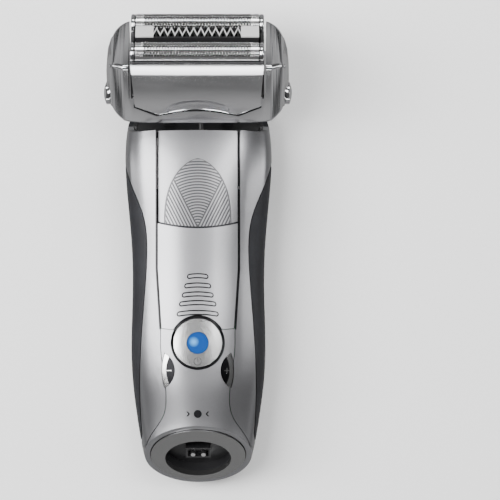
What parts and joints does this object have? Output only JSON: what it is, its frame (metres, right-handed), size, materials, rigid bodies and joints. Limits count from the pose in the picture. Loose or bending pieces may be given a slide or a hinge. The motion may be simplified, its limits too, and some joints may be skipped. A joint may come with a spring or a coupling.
{
  "type": "electric foil shaver",
  "caption": "Foil shaver with a tilting head, lift-off cassette, sprung foils, sliding front switch with pop-out trimmer, power and setting buttons and a slanted charging socket.",
  "frame": {"origin": "under the middle of the shaver as it lies on its back", "axes": "+Z out of the front face, +Y from the charging socket to the head, +X across to the right"},
  "size_m": [0.0652, 0.163, 0.0466],
  "materials": {
    "silver": "satin metallic silver",
    "dark_silver": "darker metallic grey",
    "chrome": "polished",
    "grip": "matt soft-touch",
    "black": "fine moulded",
    "steel": "ground",
    "foil": "thin polished foil",
    "blue_lens": "clear blue, lit",
    "brass": "plated contact",
    "board": "solder mask",
    "cell": "sleeved can",
    "motor_can": "drawn can",
    "bezel": "brushed"
  },
  "bodies": {
    "root": {"side_frame_left": "silver", "side_frame_right": "silver", "face_plate": "silver", "thumb_panel": "dark_silver", "rubber_grip": "grip", "rear_shell": "black", "rear_cover": "black", "station_contacts": "brass", "indicator_lens": "black", "socket_bezel": "bezel", "socket_insert": "black", "socket_pins": "brass", "circuit_board": "board", "tact_switches": "black", "board_chips": "black", "battery": "cell", "battery_straps": "brass", "motor": "motor_can", "chassis": "black", "neck": "black"},
    "rotor": {"motor_shaft": "steel"},
    "power": {"power_button": "chrome", "power_lens": "blue_lens"},
    "minus": {"minus_button": "chrome"},
    "plus": {"plus_button": "chrome"},
    "trimmer": {"trimmer_slide": "silver", "trimmer_link": "steel", "trimmer_carriage": "black", "hair_comb": "steel"},
    "hair_cutter": {"hair_blade": "steel"},
    "head": {"head_frame": "chrome", "pivot_pins": "steel", "drive_cover": "black", "release_spring_left": "steel", "release_spring_right": "steel"},
    "drive": {"drive_bridge": "black"},
    "release_left": {"release_button_left": "chrome"},
    "release_right": {"release_button_right": "chrome"},
    "cassette": {"cassette_frame": "black", "front_skirt": "chrome", "rear_skirt": "chrome", "end_caps": "chrome", "foil_springs_front": "steel", "foil_springs_rear": "steel", "middle_springs": "steel"},
    "foil_unit_front": {"foil_front": "foil", "foil_holder_front": "black"},
    "foil_unit_rear": {"foil_rear": "foil", "foil_holder_rear": "black"},
    "middle_unit": {"middle_holder": "black", "skip_guard": "steel"},
    "cutting_front": {"cutter_front": "steel"},
    "cutting_rear": {"cutter_rear": "steel"},
    "cutting_middle": {"middle_blade": "steel"}
  },
  "joints": [
    {"name": "head_tilt", "type": "hinge", "parent": "root", "child": "head", "pos_m": [0, 0.0564, 0.0215], "axis": [1, 0, 0], "range_deg": [-20, 20]},
    {"name": "motor_spin", "type": "hinge", "parent": "root", "child": "rotor", "pos_m": [0, 0.0564, 0.0215], "axis": [0, 0.979, 0.2037], "continuous": true},
    {"name": "power_press", "type": "slide", "parent": "root", "child": "power", "axis": [0, 0, -1], "range_m": [0, 0.0008], "stiffness_N_per_m": 500, "springref_m": -0.001},
    {"name": "minus_press", "type": "slide", "parent": "root", "child": "minus", "axis": [0, 0, -1], "range_m": [0, 0.0006], "stiffness_N_per_m": 300, "springref_m": -0.001},
    {"name": "plus_press", "type": "slide", "parent": "root", "child": "plus", "axis": [0, 0, -1], "range_m": [0, 0.0006], "stiffness_N_per_m": 300, "springref_m": -0.001},
    {"name": "trimmer_run", "type": "slide", "parent": "root", "child": "trimmer", "axis": [0, 1, 0], "range_m": [0, 0.009]},
    {"name": "hair_blade_slide", "type": "slide", "parent": "trimmer", "child": "hair_cutter", "axis": [1, 0, 0], "range_m": [-0.0005, 0.0005]},
    {"name": "drive_slide", "type": "slide", "parent": "head", "child": "drive", "axis": [1, 0, 0], "range_m": [-0.001, 0.001]},
    {"name": "release_left_press", "type": "slide", "parent": "head", "child": "release_left", "axis": [1, 0, 0], "range_m": [0, 0.0014], "stiffness_N_per_m": 500, "springref_m": -0.001, "deforming": ["release_spring_left"]},
    {"name": "release_right_press", "type": "slide", "parent": "head", "child": "release_right", "axis": [-1, 0, 0], "range_m": [0, 0.0014], "stiffness_N_per_m": 500, "springref_m": -0.001, "deforming": ["release_spring_right"]},
    {"name": "cassette_lift", "type": "slide", "parent": "head", "child": "cassette", "axis": [0, 0.7071, 0.7071], "range_m": [0, 0.014]},
    {"name": "foil_front_float", "type": "slide", "parent": "cassette", "child": "foil_unit_front", "axis": [0, -0.7071, -0.7071], "range_m": [0, 0.0015], "stiffness_N_per_m": 500, "springref_m": -0.001, "deforming": ["foil_springs_front"]},
    {"name": "foil_rear_float", "type": "slide", "parent": "cassette", "child": "foil_unit_rear", "axis": [0, -0.7071, -0.7071], "range_m": [0, 0.0015], "stiffness_N_per_m": 500, "springref_m": -0.001, "deforming": ["foil_springs_rear"]},
    {"name": "middle_float", "type": "slide", "parent": "cassette", "child": "middle_unit", "axis": [0, -0.7071, -0.7071], "range_m": [0, 0.0015], "stiffness_N_per_m": 500, "springref_m": -0.001, "deforming": ["middle_springs"]},
    {"name": "cutter_front_slide", "type": "slide", "parent": "foil_unit_front", "child": "cutting_front", "axis": [1, 0, 0], "range_m": [-0.001, 0.001]},
    {"name": "cutter_rear_slide", "type": "slide", "parent": "foil_unit_rear", "child": "cutting_rear", "axis": [1, 0, 0], "range_m": [-0.001, 0.001]},
    {"name": "middle_blade_slide", "type": "slide", "parent": "middle_unit", "child": "cutting_middle", "axis": [1, 0, 0], "range_m": [-0.001, 0.001]}
  ],
  "couplings": [
    {"joint": "cutter_front_slide", "follows": "drive_slide", "ratio": 1},
    {"joint": "cutter_rear_slide", "follows": "drive_slide", "ratio": 1},
    {"joint": "middle_blade_slide", "follows": "drive_slide", "ratio": 1},
    {"joint": "hair_blade_slide", "follows": "drive_slide", "ratio": 0.5}
  ]
}
